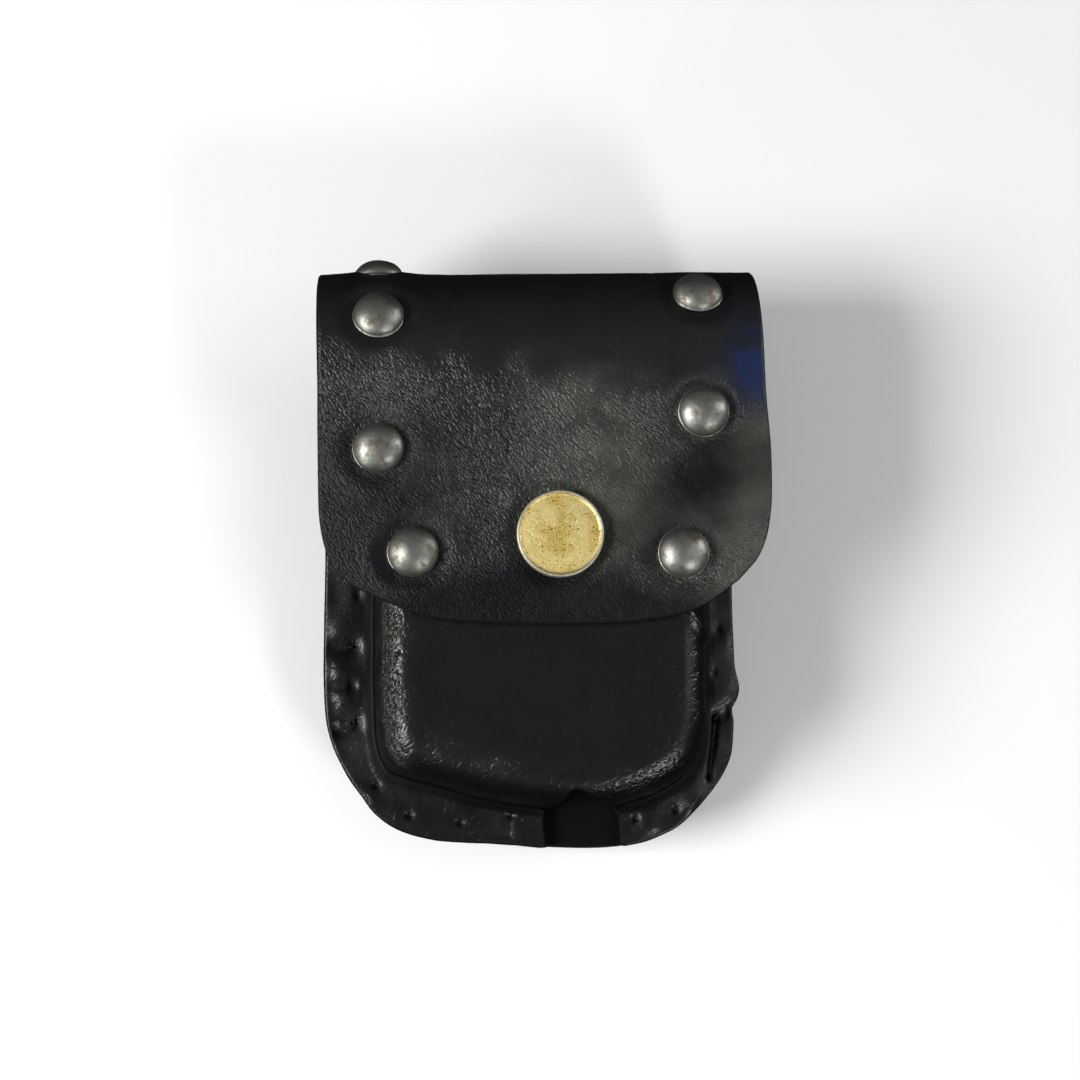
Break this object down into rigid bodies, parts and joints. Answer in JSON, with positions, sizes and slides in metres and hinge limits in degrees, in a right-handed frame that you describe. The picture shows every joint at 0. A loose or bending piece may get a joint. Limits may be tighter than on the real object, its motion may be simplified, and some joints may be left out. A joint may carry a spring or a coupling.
{
  "type": "belt pouch",
  "caption": "Small moulded leather belt pouch with a folded-over studded flap, a cap snap, a sewn flange, a thumb notch and a belt loop on the back.",
  "frame": {"origin": "under the middle of the pouch's footprint, on the surface it lies on", "axes": "the pouch lies on its back: +Z is its front, +Y points to the fold of the flap, +X to its right-hand side"},
  "size_m": [0.079, 0.1056, 0.0371],
  "materials": {
    "black_leather": "black dyed, fine streaky grain, lightly waxed, worn at the edges",
    "moulded_leather": "black wet-moulded, smooth face with pebbled worn edges",
    "rivet_steel": "dark tarnished steel domes with fine scratches",
    "snap_brass": "aged brass with fine dark pits and a bright rim"
  },
  "bodies": {
    "root": {"back_flap": "black_leather", "front_shell": "moulded_leather", "belt_loop": "black_leather", "rivet_left_crest": "rivet_steel", "rivet_left_upper": "rivet_steel", "rivet_left_middle": "rivet_steel", "rivet_left_lower": "rivet_steel", "rivet_right_upper": "rivet_steel", "rivet_right_middle": "rivet_steel", "rivet_right_lower": "rivet_steel", "snap_cap": "snap_brass", "snap_socket": "snap_brass", "snap_stud": "snap_brass"}
  },
  "joints": []
}
